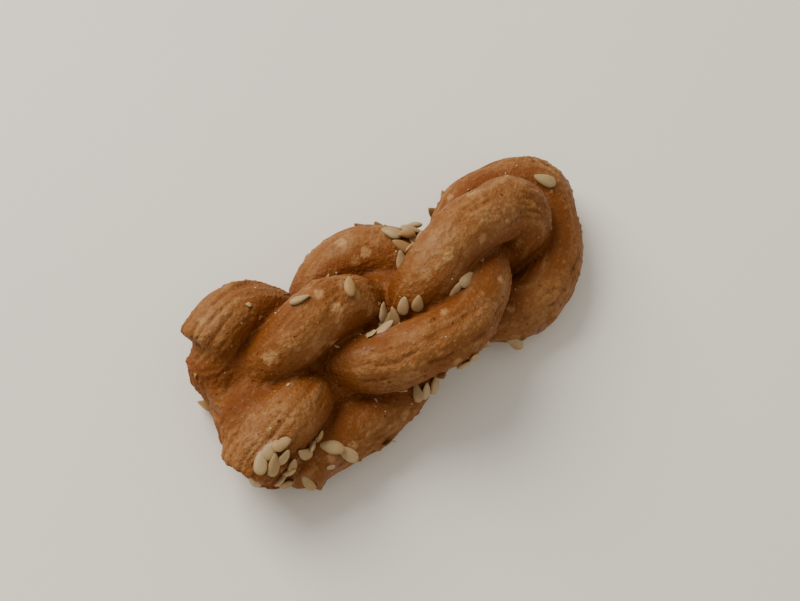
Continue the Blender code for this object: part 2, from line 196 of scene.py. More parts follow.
# Where seeds lie: a station along the twist in millimetres, and an angle round its long axis in degrees (0 is
# the near side, 90 the top, 180 the far side). Each trail: its first place, its last place, how many seeds,
# how far they stray in millimetres, and the heading they lie along in degrees (None: any)
AXIS_HEIGHT = 7.4 * MM
SEED_AXIS = Vector((0.8 * MM, -0.5 * MM, AXIS_HEIGHT))
OUTSIDE = 30.0 * MM
SEED_TRAILS = {
    "standing in the groove": ((-5.8, 62), (-0.7, 68), 2, 0.0, 53),
    "on the far shoulder": ((-12.9, 123), (-6.8, 116), 2, 0.0, 53),
    "at the groove's far end": ((4.0, 59), (5.9, 61), 2, 0.0, -22),
    "on the cut corner": ((-24.7, 32), (-26.6, 24), 6, 0.8, None),
    "below the cut corner": ((-23.5, 7), (-25.4, -12), 5, 0.7, None),
    "along the cut end's lower edge": ((-21.9, 14), (-17.2, -5), 8, 0.6, None),
    "under the cut end's lower edge": ((-22.4, -10), (-19.4, -6), 4, 0.5, None),
    "in the groove on top": ((-5.1, 75), (-2.4, 66), 6, 0.8, None),
    "in the gap behind the top lobe": ((1.8, 140), (6.4, 163), 9, 1.0, None),
    "below the near lobe": ((-6.8, 2), (-3.2, -8), 5, 0.4, 53),
    "along the near lobe's lower edge": ((-2.4, 12), (1.4, 20), 3, 0.6, 97),
    "on the folded end": ((24.3, 154), (25.2, -150), 2, 0.0, None),
    "low on the cut face": ((-25.8, -125), (-27.6, -16), 3, 0.4, None),
    "behind the cut end": ((-21.0, 178), (-14.5, 200), 5, 1.2, None),
    "in the groove behind": ((-4.0, 205), (3.5, 190), 6, 1.0, None),
    "under the fold": ((12.0, 200), (19.0, 215), 4, 1.0, None),
    "under the near side": ((4.0, -24), (13.0, -16), 4, 0.8, None),
}
SEED_SPACING = 1.15 * MM
SEED_NEIGHBOUR = 2.2 * MM
SEED_STACK = 0.16 * MM
SEED_TRIES = 30
SEED_RANDOM = 12

# ---- Sugar, crumbs and husks ----

KNOBS_PER_METRE = 2600.0
BIT_TILT = 0.6
SUGAR = {"Share": "sugar", "How Many": 1.2e5, "Apart": 0.5 * MM, "Smallest": 0.10 * MM,
         "Largest": 0.38 * MM, "Flatness": 0.6, "Roundness": 1, "Unevenness": 0.12 * MM, "Random": 3}
CRUMBS = {"Share": "crumbs", "How Many": 2.0e5, "Apart": 1.0 * MM, "Smallest": 0.25 * MM,
          "Largest": 0.75 * MM, "Flatness": 0.5, "Roundness": 2, "Unevenness": 0.4 * MM, "Random": 8}
CHIPS = {"Share": "crumbs", "How Many": 0.9e5, "Apart": 1.5 * MM, "Smallest": 0.4 * MM,
         "Largest": 0.95 * MM, "Flatness": 0.35, "Roundness": 2, "Unevenness": 0.6 * MM, "Random": 21}

# Husks: station and angle, as for seeds, and length in millimetres
HUSKS = {
    "under the near edge": (-11.3, -16, 2.8),
    "by the cut end": (-19.5, 8, 2.4),
    "in the groove on top": (-7.6, 66, 1.8),
    "behind the top lobe": (5.0, 150, 2.0),
}
HUSK_WIDTH = 0.5
HUSK_TIP = 0.04
HUSK_CURL = (0.15, 0.45)
HUSK_WAVE, HUSK_WAVES = 0.04, 5.0
HUSK_THICKNESS = 0.07 * MM
HUSK_RISE = 0.08 * MM
HUSK_STEPS = 7
HUSK_RANDOM = 5

# ---- Colours ----

CRUST_CREST = (0.258, 0.104, 0.027, 1.0)
CRUST_SIDE = (0.205, 0.066, 0.0115, 1.0)
# Browns for the creases, partly the crust's own browning and partly painted shade; the first is also painted
# shade in the pits and a plain dark brown for crumbs
CRUST_DARK_BROWN_AND_PAINTED_SHADE = (0.16, 0.041, 0.0045, 1.0)
CRUST_DEEP_BROWN_AND_PAINTED_SHADE = (0.13, 0.030, 0.0030, 1.0)
CRUST_GOLDEN = (0.34, 0.166, 0.058, 1.0)
# A toasted brown for patches, streaks and grain; also painted shade in the furrows, between the bubbles and
# round the seeds
CRUST_TOASTED_AND_PAINTED_SHADE = (0.17, 0.047, 0.006, 1.0)
GLAZE_DRIED = (0.56, 0.33, 0.13, 1.0)
GLAZE_TINT = (1.0, 0.90, 0.76, 1.0)
SEED_PALE = (0.47, 0.335, 0.175, 1.0)
SEED_OLIVE = (0.39, 0.285, 0.13, 1.0)
SEED_TOASTED = (0.34, 0.18, 0.06, 1.0)
SEED_STAINED = (0.20, 0.08, 0.018, 1.0)
SUGAR_WHITE = (0.62, 0.49, 0.32, 1.0)
SUGAR_STAINED = (0.42, 0.22, 0.08, 1.0)
HUSK_STRAW = (0.50, 0.36, 0.17, 1.0)
HUSK_DARK = (0.17, 0.09, 0.035, 1.0)
FLOOR_COLOUR = (0.90, 0.85, 0.74, 1.0)
FLOOR_CLOUD = (0.66, 0.64, 0.60, 1.0)
STREAK_PER_METRE = (150.0, 750.0, 750.0)
BUBBLE_SIZE = 0.6 * MM

# The crust's colours, each over the ones before: the colour, what its share follows, and that share, as a
# plain factor or eased (first and last value followed, and the share at each)
CRUST_LAYERS = {
    # From the creases out to the crests the crust grows lighter: partly browning, partly painted shade in the
    # creases
    "creases": (CRUST_DARK_BROWN_AND_PAINTED_SHADE, "open", (0.0, 0.18, 0.0, 1.0)),
    "sides": (CRUST_SIDE, "open", (0.08, 0.60, 0.0, 1.0)),
    "crests": (CRUST_CREST, "open", (0.50, 1.0, 0.0, 1.0)),
    "toasted patches": (CRUST_TOASTED_AND_PAINTED_SHADE, "Patches", (0.55, 0.05, 0.0, 0.55)),
    "golden patches": (CRUST_GOLDEN, "Patches", (0.6, 1.0, 0.0, 0.55)),
    "toasted streaks": (CRUST_TOASTED_AND_PAINTED_SHADE, "streaks", (0.50, 0.32, 0.0, 0.55)),
    "golden streaks": (CRUST_GOLDEN, "streaks", (0.52, 0.70, 0.0, 0.50)),
    # Darker in the furrows: painted shade
    "furrows": (CRUST_TOASTED_AND_PAINTED_SHADE, "furrow", 0.5),
    "blisters": (CRUST_GOLDEN, "risen", 0.45),
    # Darker between the bubbles: painted shade
    "between bubbles": (CRUST_TOASTED_AND_PAINTED_SHADE, "Height", (0.35, 0.0, 0.0, 0.45)),
    "tops of bubbles": (CRUST_GOLDEN, "Domes", (0.45, 0.95, 0.0, 0.4)),
    # Darker in the pits: painted shade
    "pits": (CRUST_DARK_BROWN_AND_PAINTED_SHADE, "Pits", 0.8),
    "specks": (CRUST_GOLDEN, "Specks", 0.3),
    "dark grain": (CRUST_TOASTED_AND_PAINTED_SHADE, "Grain", (0.5, 0.3, 0.0, 0.35)),
    "dried glaze": (GLAZE_DRIED, "glaze", 0.4),
    # Darker round the seeds: partly glaze browning, partly painted shade
    "round the seeds": (CRUST_TOASTED_AND_PAINTED_SHADE, "gathered", 0.5),
}
# These lighter marks fade out into the creases, which keeps the painted shade there
ONLY_IN_THE_OPEN = {"golden patches", "blisters", "tops of bubbles"}

# The thin coat of glaze: by patches, more where it gathers, none in the creases
WET_PATCHES = (0.35, 0.8, 0.0, 0.09)
WET_GATHERED = 0.3
WET_IN_THE_OPEN = (0.1, 0.6)

# Fried skin: crowded areas, bubbles of two sizes and small pits
SKIN_AREA_SHARE = 0.2
SKIN_CROWDED = (0.35, 0.65, 0.35, 1.0)
SKIN_DOME = (0.1, 0.6, 1.0, 0.0)
SKIN_FINE_SIZE, SKIN_FINE_HEIGHT = 0.42, 0.4
SKIN_PIT_SIZE, SKIN_PIT_DEPTH = 2.3, 1.4
SKIN_PIT, SKIN_PITTED = (0.06, 0.2, 1.0, 0.0), (0.62, 0.72)
GRAIN_IN_SKIN = 0.6

# Each finish: the size of its patches and specks, its roughness from one end of its grain to the other, and
# the depth and strength of the relief that is too fine for the mesh
FINISHES = {
    "fried_crust": (6.0 * MM, 0.6 * MM, (0.50, 0.72), 0.11 * MM, 1.0),
    "sesame": (2.2 * MM, 0.35 * MM, (0.42, 0.6), 0.03 * MM, 0.7),
    "sugar_crystals": (3.0 * MM, 0.2 * MM, (0.15, 0.35), 0.0, 0.0),
    "crust_crumbs": (2.0 * MM, 0.3 * MM, (0.5, 0.75), 0.04 * MM, 0.8),
    "seed_husks": (1.2 * MM, 0.25 * MM, (0.35, 0.55), 0.03 * MM, 0.6),
}

# Browning: broad patches, specks in some cells, and grain finer than the specks
PATCHES = (0.3, 0.7)
SPECK, SPECKS_CHOSEN = (0.1, 0.45), (0.55, 0.8)
GRAIN_SIZE = 0.8
GRAIN_RANGE = (0.3, 0.7)

# Seeds: how their shade, patches and grain turn their colour, and how far the glaze stains whole ones
SEED_TURNS_OLIVE = (0.1, 0.5)
SEED_TOASTED_BY_SHADE = (0.55, 1.0, 0.0, 0.75)
SEED_TOASTED_IN_PATCHES = (0.7, 0.2, 0.0, 0.35)
SEED_TOASTED_IN_GRAIN = (0.45, 0.7, 0.0, 0.35)
SEED_STAINED_SHARE = 0.149
CRUMB_GRAIN = (0.4, 0.7, 0.0, 0.5)
SUGAR_STAIN = 0.6

# ---- Camera and lights ----

CAMERA_PLACE = Vector((-107.8, -65.7, 299.3)) * MM
CAMERA_AIM = Vector((0.8, 0.0, 7.0)) * MM
CAMERA_ROLL = math.radians(22.4)
CAMERA_LENS = 118.0
# Each light: its direction in the view (right, up, towards the camera), distance, size and power
LIGHTS = {
    "window_light": ((-0.55, 0.80, 0.60), 0.55, 0.40, 3.6),
}
LIGHT_COLOUR = (1.0, 0.97, 0.92)
ROOM_COLOUR = (1.0, 0.975, 0.93, 1.0)
ROOM_STRENGTH = 0.56
FLOOR_SIZE = 1.2
FLOOR_CLOUDS_PER_METRE = 14.0
FLOOR_CLOUDED = (0.3, 0.7, 0.0, 0.08)


# ---- the routes of the strands ----

def smoothstep(x):
    x = np.clip(x, 0.0, 1.0)
    return x * x * (3.0 - 2.0 * x)


def unit(vectors):
    return vectors / np.linalg.norm(vectors, axis=1, keepdims=True)


def leg_phases(end_phase, count):
    """A leg's angle round the long axis at each station, worked out back from the fold."""
    phases = [end_phase]
    fine = LEG_LENGTH / (count - 1) / PHASE_SUBSTEPS
    for _ in range(count - 1):
        phase = phases[-1]
        for _ in range(PHASE_SUBSTEPS):
            phase -= fine * TWIST_RATE * (1.0 - TWIST_UNEVENNESS * math.sin(phase))
        phases.append(phase)
    return np.array(phases[::-1])


def leg_route(end_phase):
    """Centre line of one leg of the rope, and the direction that points out from the long axis."""
    stations = np.linspace(0.0, LEG_LENGTH, int(round(LEG_LENGTH / STEP)) + 1)
    phases = leg_phases(end_phase, len(stations))
    near = -np.cos(phases)
    above = np.sin(phases)
    centre = np.stack([stations, TWIST_HALF_WIDTH * near, TWIST_HALF_HEIGHT * above], 1)
    outward = np.stack([0.0 * stations, near / TWIST_HALF_WIDTH, above / TWIST_HALF_HEIGHT], 1)
    return centre, unit(outward)


def fold_route():
    """Half turn of the rope from the end of one leg to the end of the other."""
    count = int(math.pi * FOLD_REACH / STEP)
    turn = np.linspace(0.0, math.pi, count + 2)[1:-1]
    out, aside = np.sin(turn), np.cos(turn)
    start = np.array([-TWIST_HALF_WIDTH * math.cos(FOLD_PHASE), TWIST_HALF_HEIGHT * math.sin(FOLD_PHASE)])
    across, up = start / np.linalg.norm(start)
    centre = np.stack([LEG_LENGTH + FOLD_REACH * out, start[0] * aside, start[1] * aside], 1)
    outward = np.stack([out, across * aside, up * aside], 1)
    return centre, outward


def rope_route():
    """The whole rope: out along one leg, round the fold, back along the other."""
    going = leg_route(FOLD_PHASE)
    fold = fold_route()
    coming = leg_route(FOLD_PHASE + math.pi)
    centre = np.concatenate([going[0], fold[0], coming[0][::-1]])
    outward = np.concatenate([going[1], fold[1], coming[1][::-1]])
    for _ in range(SOFTENING_ROUNDS):
        for line in (centre, outward):
            line[1:-1] = 0.25 * line[:-2] + 0.5 * line[1:-1] + 0.25 * line[2:]
    along = unit(np.gradient(centre, axis=0))
    outward = unit(outward)
    outward = unit(outward - along * np.sum(outward * along, 1, keepdims=True))
    return centre, outward, np.cross(along, outward), len(going[0]), len(fold[0])


def ply_angles(centre, leg_count, fold_count):
    """The first strand's angle round the rope at each point of the route."""
    paces = np.linalg.norm(np.diff(centre, axis=0), axis=1)
    turns = np.full(len(paces), PLY_RATE * STEP)
    fold = slice(leg_count - 1, leg_count + fold_count)
    turns[fold] = FOLD_PLY_RATE * paces[fold]
    angles = np.concatenate([[0.0], np.cumsum(turns)])
    return angles - angles[int(round(PLY_PHASE_STATION / STEP))] + PLY_PHASE


def lay_by_hand(route, strand, going):
    """Brings a strand's two ends to their places at the cut end, and presses it where it was pressed."""
    route = route.copy()
    swell = np.sin(route[:, 0] * math.tau / TWIST_SWELL_LENGTH)
    route[:, 1] = route[:, 1] * (1.0 + TWIST_SWELL * swell) + TWIST_LEAN
    for leg, chosen in (("going", going), ("coming", ~going)):
        *place, reach = CUT_ENDS[leg, strand]
        pull = 1.0 - smoothstep(route[chosen, 0] / reach)
        for axis, target in enumerate(place):
            start = 0.0 if axis == 0 else route[chosen, axis]
            route[chosen, axis] += (target - start) * pull
        stations = route[chosen, 0]
        for pressed_leg, pressed_strand, station, press, length in PRESSED.values():
            if (pressed_leg, pressed_strand) == (leg, strand):
                share = np.exp(-((stations - station) / length) ** 2)
                route[chosen] += share[:, None] * np.array(press)
    shift = smoothstep((route[:, 0] - FOLD_SHIFT_FROM) / FOLD_SHIFT_OVER)
    route[:, 1] += FOLD_SHIFT[0] * shift
    route[:, 2] += FOLD_SHIFT[1] * shift
    return route


def push_apart(routes):
    """Pushes strands that overlap apart, and keeps each one smooth."""
    sizes = [len(route) for route in routes]
    points = np.concatenate(routes)
    wanted = points.copy()
    strand = np.repeat(np.arange(len(routes)), sizes)
    place = np.concatenate([np.arange(size) for size in sizes])
    own = (strand[:, None] == strand) & (np.abs(place[:, None] - place) < OWN_STRAND_REACH)
    clearance = 2.0 * STRAND_RADIUS * SQUEEZE
    ends = np.cumsum([0] + sizes)
    for _ in range(PUSH_ROUNDS):
        apart = points[:, None, :] - points[None, :, :]
        distance = np.linalg.norm(apart, axis=2) + 1e-12
        overlap = np.clip(clearance - distance, 0.0, None)
        overlap[own] = 0.0
        push = (apart * (overlap / distance)[:, :, None]).sum(1)
        points = points + 0.5 * push / np.maximum((overlap > 0.0).sum(1), 1)[:, None]
        points += HOLD * (wanted - points)
        for first, last in zip(ends[:-1], ends[1:]):
            line = points[first:last]
            line[1:-1] += SMOOTHING * (0.5 * (line[:-2] + line[2:]) - line[1:-1])
    return [points[first:last] for first, last in zip(ends[:-1], ends[1:])]


def press_underside(route):
    """Lifts what would hang below the level underside."""
    above = route[:, 2] - UNDERSIDE
    route[:, 2] = UNDERSIDE + 0.5 * (above + np.sqrt(above**2 + UNDERSIDE_SOFTNESS**2))
    return route


def strand_routes():
    """Centre lines of the two strands, each from the cut end, round the fold and back."""
    centre, outward, sideways, leg_count, fold_count = rope_route()
    angles = ply_angles(centre, leg_count, fold_count)[:, None]
    offset = PLY_RADIUS * (np.cos(angles) * outward + np.sin(angles) * sideways)
    going = np.arange(len(centre)) < leg_count + fold_count // 2
    laid = [lay_by_hand(centre + side * offset, strand, going) for strand, side in ((0, 1), (1, -1))]
    return [press_underside(route) for route in push_apart(laid)]


def place_in_frame(routes):
    """The move that brings the twist's middle over the origin and its flat spots down to it."""
    points = np.concatenate(routes)
    low, high = points.min(0), points.max(0)
    middle = 0.5 * (low + high + np.array(REACH_BEYOND))
    return Vector((-middle[0], -middle[1], STRAND_RADIUS - FLAT_DEPTH - low[2]))


def strand_shares(route):
    """How thick a strand is along its route, as a share of its radius: uneven, and drawn in at its ends."""
    steps = np.arange(len(route)) * STEP
    from_end = np.minimum(steps, steps[::-1])
    drawn_in = CUT_FACE_SHARE + (1.0 - CUT_FACE_SHARE) * smoothstep(from_end / CUT_FACE_ROUNDING)
    slanted = route[:, 0] + UNEVEN_SLANT * route[:, 1]
    return drawn_in * (1.0 + UNEVEN_SHARE * np.sin(slanted * math.tau / UNEVEN_LENGTH))


def finer(line):
    """A smooth line through another's points, with more of them."""
    padded = np.concatenate([2 * line[:1] - line[1:2], line, 2 * line[-1:] - line[-2:-1]])
    share = (np.arange(FINE_STEPS) / FINE_STEPS)[:, None]
    before, start, end, after = (padded[k:len(padded) - 3 + k, None] for k in range(4))
    smooth = 0.5 * (2 * start + (end - before) * share + (2 * before - 5 * start + 4 * end - after) * share**2
                    + (3 * start - before - 3 * end + after) * share**3)
    return np.concatenate([smooth.reshape(-1, line.shape[1]), line[-1:]])


# ---- building with node trees ----

def feed(tree, socket, value):
    """Gives a socket a value, or links another node's socket to it."""
    if isinstance(value, bpy.types.NodeSocket):
        tree.links.new(value, socket)
    else:
        socket.default_value = value


def add(tree, kind, values=(), **settings):
    """A new node: its settings, and its inputs as values or as other nodes' sockets."""
    node = tree.nodes.new(kind)
    for name, setting in settings.items():
        setattr(node, name, setting)
    for key, value in dict(values).items():
        feed(tree, node.inputs[key], value)
    return node


def sum_up(tree, operation, *values, clamp=False):
    """The result of a math node."""
    return add(tree, "ShaderNodeMath", enumerate(values), operation=operation, use_clamp=clamp).outputs[0]


def times(tree, first, second):
    return sum_up(tree, "MULTIPLY", first, second)


def ramp(tree, value, low, high, to_low=0.0, to_high=1.0):
    """A value eased from one range to another."""
    inputs = {"Value": value, "From Min": low, "From Max": high, "To Min": to_low, "To Max": to_high}
    return add(tree, "ShaderNodeMapRange", inputs, interpolation_type="SMOOTHSTEP").outputs["Result"]


def blend(tree, share, first, second):
    """One colour turning into another."""
    mix = add(tree, "ShaderNodeMix", data_type="RGBA")
    for port, value in ((0, share), (6, first), (7, second)):
        feed(tree, mix.inputs[port], value)
    return mix.outputs[2]


def scaled(tree, vector, share):
    return add(tree, "ShaderNodeVectorMath", {0: vector, "Scale": share}, operation="SCALE").outputs[0]


def split(tree, vector):
    """A vector's three numbers."""
    return add(tree, "ShaderNodeSeparateXYZ", {0: vector}).outputs


def noise(tree, place, scale, detail=2.0, roughness=0.5, output="Fac"):
    """A soft random pattern."""
    inputs = {"Vector": place, "Scale": scale, "Detail": detail, "Roughness": roughness}
    return add(tree, "ShaderNodeTexNoise", inputs).outputs[output]


def cells(tree, place, scale=1.0, feature="F1"):
    """A pattern of cells: the distance to the nearest middle, and a random colour for each cell."""
    return add(tree, "ShaderNodeTexVoronoi", {"Vector": place, "Scale": scale}, feature=feature).outputs


def attribute(tree, name):
    """A number stored on the surface, in a material."""
    return add(tree, "ShaderNodeAttribute", attribute_name=name).outputs["Fac"]


def stored(tree, name, data_type="FLOAT"):
    """Something stored on the surface, in a shape's tree."""
    node = add(tree, "GeometryNodeInputNamedAttribute", {"Name": name}, data_type=data_type)
    return node.outputs["Attribute"]


def marked(tree, shape, name, value):
    """A shape with a number stored on its points."""
    inputs = {"Geometry": shape, "Name": name, "Value": value}
    return add(tree, "GeometryNodeStoreNamedAttribute", inputs, domain="POINT", data_type="FLOAT").outputs[0]


def point_place(tree):
    return add(tree, "GeometryNodeInputPosition").outputs[0]


def point_normal(tree):
    return add(tree, "GeometryNodeInputNormal").outputs[0]


def moved(tree, shape, **how):
    """A shape whose points are moved, by an Offset or to a Position."""
    return add(tree, "GeometryNodeSetPosition", {"Geometry": shape, **how}).outputs[0]


def laid_unevenly(tree, laid, per_metre, amount):
    """Copies of a piece laid on points, each pushed out of shape a little where it lies."""
    copies = add(tree, "GeometryNodeInstanceOnPoints", laid).outputs[0]
    real = add(tree, "GeometryNodeRealizeInstances", {"Geometry": copies}).outputs[0]
    push = noise(tree, point_place(tree), per_metre, output="Color")
    push = add(tree, "ShaderNodeVectorMath", {0: push, 1: (0.5, 0.5, 0.5)}, operation="SUBTRACT").outputs[0]
    return moved(tree, real, Offset=scaled(tree, push, amount))


def new_tree(name, kind, inputs, outputs):
    """An empty node group with its sockets, named by their kinds, and its input and output nodes."""
    tree = bpy.data.node_groups.new(name, kind)
    for direction, sockets in (("INPUT", inputs), ("OUTPUT", outputs)):
        for socket_kind, names in sockets.items():
            for socket_name in names:
                tree.interface.new_socket(
                    socket_name, in_out=direction, socket_type="NodeSocket" + socket_kind)
    return tree, tree.nodes.new("NodeGroupInput").outputs, tree.nodes.new("NodeGroupOutput").inputs


def put_out(tree, made, **values):
    for name, value in values.items():
        tree.links.new(value, made[name])


def close_tree(tree, geometry, material, output):
    """Ends a shape's tree: instances made real, and its finish."""
    real = add(tree, "GeometryNodeRealizeInstances", {"Geometry": geometry})
    finish = add(tree, "GeometryNodeSetMaterial", {"Geometry": real.outputs[0], "Material": material})
    tree.links.new(finish.outputs[0], output)


def evaluated_mesh(item):
    bpy.context.view_layer.update()
    return bpy.data.meshes.new_from_object(item.evaluated_get(bpy.context.evaluated_depsgraph_get()))


def add_object(name, data):
    item = bpy.data.objects.new(name, data)
    bpy.context.scene.collection.objects.link(item)
    return item


def grown(item, tree, values, name):
    """The plain mesh that a tree makes from an object, as a new object. The first one is removed."""
    modifier = item.modifiers.new(tree.name, "NODES")
    modifier.node_group = tree
    for socket in tree.interface.items_tree:
        if socket.in_out == "INPUT" and socket.name in values:
            modifier[socket.identifier] = values[socket.name]
    mesh = evaluated_mesh(item)
    bpy.data.objects.remove(item)
    mesh.name = name
    return add_object(name, mesh)


# ---- the dough ----

def strands_tree():
    """Round strands along their routes, with the dough pressed between them."""
    tree, given, made = new_tree(
        "dough_strands", "GeometryNodeTree",
        {"Geometry": ["Routes"], "Float": ["Strand Radius"], "Int": ["Sides"]}, {"Geometry": ["Strands"]})
    section = add(tree, "GeometryNodeCurvePrimitiveCircle",
                  {"Resolution": given["Sides"], "Radius": given["Strand Radius"]})
    strands = add(tree, "GeometryNodeCurveToMesh",
                  {"Curve": given["Routes"], "Profile Curve": section.outputs[0], "Fill Caps": True})
    joined = add(tree, "GeometryNodeJoinGeometry", {"Geometry": strands.outputs[0]})
    for middle, radii, turn in FILLINGS.values():
        ball = add(tree, "GeometryNodeMeshUVSphere",
                   {"Segments": given["Sides"], "Rings": given["Sides"], "Radius": 1.0})
        pressed = add(tree, "GeometryNodeTransform",
                      {"Geometry": ball.outputs["Mesh"], "Translation": middle,
                       "Rotation": Euler((0.0, 0.0, math.radians(turn))), "Scale": radii})
        tree.links.new(pressed.outputs[0], joined.inputs[0])
    tree.links.new(joined.outputs[0], made["Strands"])
    return tree


def route_curve(routes, shift):
    """The strands' centre lines as one curve object, each point as thick as the strand is there."""
    curve = bpy.data.curves.new("strand_routes", "CURVE")
    curve.dimensions = "3D"
    for route in routes:
        line = finer(route) + np.array(shift)
        shares = finer(strand_shares(route)[:, None])[:, 0]
        spline = curve.splines.new("POLY")
        spline.points.add(len(line) - 1)
        spline.points.foreach_set("co", np.column_stack([line, np.ones(len(line))]).ravel())
        spline.points.foreach_set("radius", shares)
    return add_object("strand_routes", curve)


def outer_skin(mesh):
    """Drops the small closed bubbles inside a mesh: only its largest skin stays."""
    form = bmesh.new()
    form.from_mesh(mesh)
    left = set(form.verts)
    skins = []
    while left:
        front = [left.pop()]
        skin = []
        while front:
            corner = front.pop()
            skin.append(corner)
            near = {edge.other_vert(corner) for edge in corner.link_edges} & left
            left -= near
            front.extend(near)
        skins.append(skin)
    skins.sort(key=len)
    for bubble in skins[:-1]:
        bmesh.ops.delete(form, geom=bubble, context="VERTS")
    form.to_mesh(mesh)
    form.free()


def one_skin(item):
    """The strands and what fills them as one closed skin of even squares."""
    modifier = item.modifiers.new("one_skin", "REMESH")
    modifier.mode = "VOXEL"
    modifier.voxel_size = SKIN_SIZE
    mesh = evaluated_mesh(item)
    bpy.data.objects.remove(item)
    outer_skin(mesh)
    return mesh


def evened(points, edges, share, rounds):
    """Points moved towards the middle of their neighbours, each by its own share."""
    count = np.bincount(edges.ravel(), minlength=len(points))[:, None]
    for _ in range(rounds):
        middle = np.zeros_like(points)
        for axis in range(3):
            middle[:, axis] += np.bincount(edges[:, 0], points[edges[:, 1], axis], len(points))
            middle[:, axis] += np.bincount(edges[:, 1], points[edges[:, 0], axis], len(points))
        points = points + share * (middle / count - points)
    return points


def turning_frames(line):
    """Two directions across a line at each of its points, carried along it without turning round it."""
    along = unit(np.gradient(line, axis=0))
    across = np.cross(along[0], (0.0, 0.0, 1.0))
    sides = []
    for direction in along:
        across = across - direction * (across @ direction)
        across = across / np.linalg.norm(across)
        sides.append(across)
    sides = np.array(sides)
    return sides, np.cross(along, sides)


def places_on_strands(points, routes, shift):
    """Where each point lies on its strand, the way in to the dough, and the gap to the next strand."""
    lines = [finer(route) + np.array(shift) for route in routes]
    centre = np.concatenate(lines)
    radii = STRAND_RADIUS * np.concatenate([finer(strand_shares(route)[:, None])[:, 0] for route in routes])
    frames = [turning_frames(line) for line in lines]
    side = np.concatenate([frame_pair[0] for frame_pair in frames])
    over = np.concatenate([frame_pair[1] for frame_pair in frames])
    strand = np.repeat(np.arange(len(lines)), [len(line) for line in lines])
    place = np.concatenate([np.arange(len(line)) for line in lines])
    grain, inward, gap = np.empty_like(points), np.empty_like(points), np.empty(len(points))
    for first in range(0, len(points), POINTS_AT_ONCE):
        part = slice(first, first + POINTS_AT_ONCE)
        apart = points[part, None, :] - centre[None]
        depth = np.linalg.norm(apart, axis=2) - radii
        near = depth.argmin(1)
        rows = np.arange(len(near))
        other = strand[near, None] != strand
        other |= np.abs(place[near, None] - place) > OWN_STRAND_REACH * FINE_STEPS
        elsewhere = np.where(other, depth, np.inf)
        second = elsewhere.argmin(1)
        gap[part] = elsewhere[rows, second] - depth[rows, near]
        out = apart[rows, near]
        sway = np.exp(-gap[part] / CREASE_WIDTH)[:, None]
        inward[part] = -unit(unit(out) + sway * unit(apart[rows, second]))
        turn = np.arctan2(np.sum(out * over[near], 1), np.sum(out * side[near], 1))
        grain[part, 0] = (place[near] + STRAND_GRAIN_APART * strand[near]) * STEP / FINE_STEPS
        grain[part, 1] = STRAND_RADIUS * np.cos(turn)
        grain[part, 2] = STRAND_RADIUS * np.sin(turn)
    return grain, inward, gap


def store(mesh, name, data_type, field, values):
    attribute_data = mesh.attributes.new(name, data_type, "POINT").data
    attribute_data.foreach_set(field, np.ascontiguousarray(values, np.float32).ravel())


def share_cut(points, routes, shift):
    """How near each point is to the cut end or to a strand's own cut face, from 0 to 1."""
    cut_line = min(route[0, 0] for route in routes) + shift[0]
    at_cut = 1.0 - smoothstep((points[:, 0] - cut_line) / PRESSED_END_LENGTH)
    for route in routes:
        for end in (route[0], route[-1]):
            from_end = np.linalg.norm(points - (end + np.array(shift)), axis=1)
            at_cut = np.maximum(at_cut, 1.0 - smoothstep(from_end / PRESSED_END_REACH))
    return at_cut


def shaped_dough(routes, shift):
    """The dough's skin: dipped at the creases, pressed together at the cut end, flat where it lies."""
    tubes = grown(route_curve(routes, (0.0, 0.0, 0.0)), strands_tree(),
                  {"Strand Radius": STRAND_RADIUS, "Sides": STRAND_SIDES}, "dough_tubes")
    tubes.data.transform(Matrix.Translation(shift))
    mesh = one_skin(tubes)
    points = np.empty((len(mesh.vertices), 3), np.float32)
    mesh.vertices.foreach_get("co", points.ravel())
    points = points.astype(float)
    edges = np.empty((len(mesh.edges), 2), np.int32)
    mesh.edges.foreach_get("vertices", edges.ravel())
    points = evened(points, edges, EVENING_SHARE, EVENING_ROUNDS)
    at_cut = share_cut(points, routes, shift)
    points = evened(points, edges, EVENING_SHARE * at_cut[:, None], PRESSED_END_ROUNDS)
    grain, inward, gap = places_on_strands(points, routes, shift)
    dip = CREASE_DEPTH * np.exp(-gap / CREASE_WIDTH) * (1.0 - PRESSED_END_DIP * at_cut)
    points = evened(points + inward * dip[:, None], edges, EVENING_SHARE, CREASE_ROUNDS)
    points[:, 2] = 0.5 * (points[:, 2] + np.sqrt(points[:, 2] ** 2 + FLOOR_SOFTNESS**2))
    mesh.vertices.foreach_set("co", points.astype(np.float32).ravel())
    store(mesh, "grain", "FLOAT_VECTOR", "vector", grain)
    # How far each point lies from the creases; the crust grows darker towards them, partly browning, partly
    # painted shade
    store(mesh, "open", "FLOAT", "value", smoothstep(gap / OPEN_GAP))
    store(mesh, "cut", "FLOAT", "value", at_cut)
    mesh.update()
    return mesh


def fine_wrinkles(tree, given, area):
    """Furrows that run along the strands, in some areas and all over the cut end."""
    grain = split(tree, stored(tree, "grain", "FLOAT_VECTOR"))
    lengths = ("Wrinkle Length", "Wrinkle Spacing", "Wrinkle Spacing")
    grain = [sum_up(tree, "DIVIDE", value, given[length]) for value, length in zip(grain, lengths)]
    folds = noise(tree, add(tree, "ShaderNodeCombineXYZ", enumerate(grain)).outputs[0], 1.0)
    off_middle = sum_up(tree, "ABSOLUTE", sum_up(tree, "SUBTRACT", folds, 0.5))
    somewhere = ramp(tree, noise(tree, area, WRINKLED_FINENESS), *WRINKLED_AREAS)
    somewhere = sum_up(tree, "MAXIMUM", somewhere, stored(tree, "cut"))
    return times(tree, ramp(tree, off_middle, *FURROW, 1.0, 0.0), somewhere)


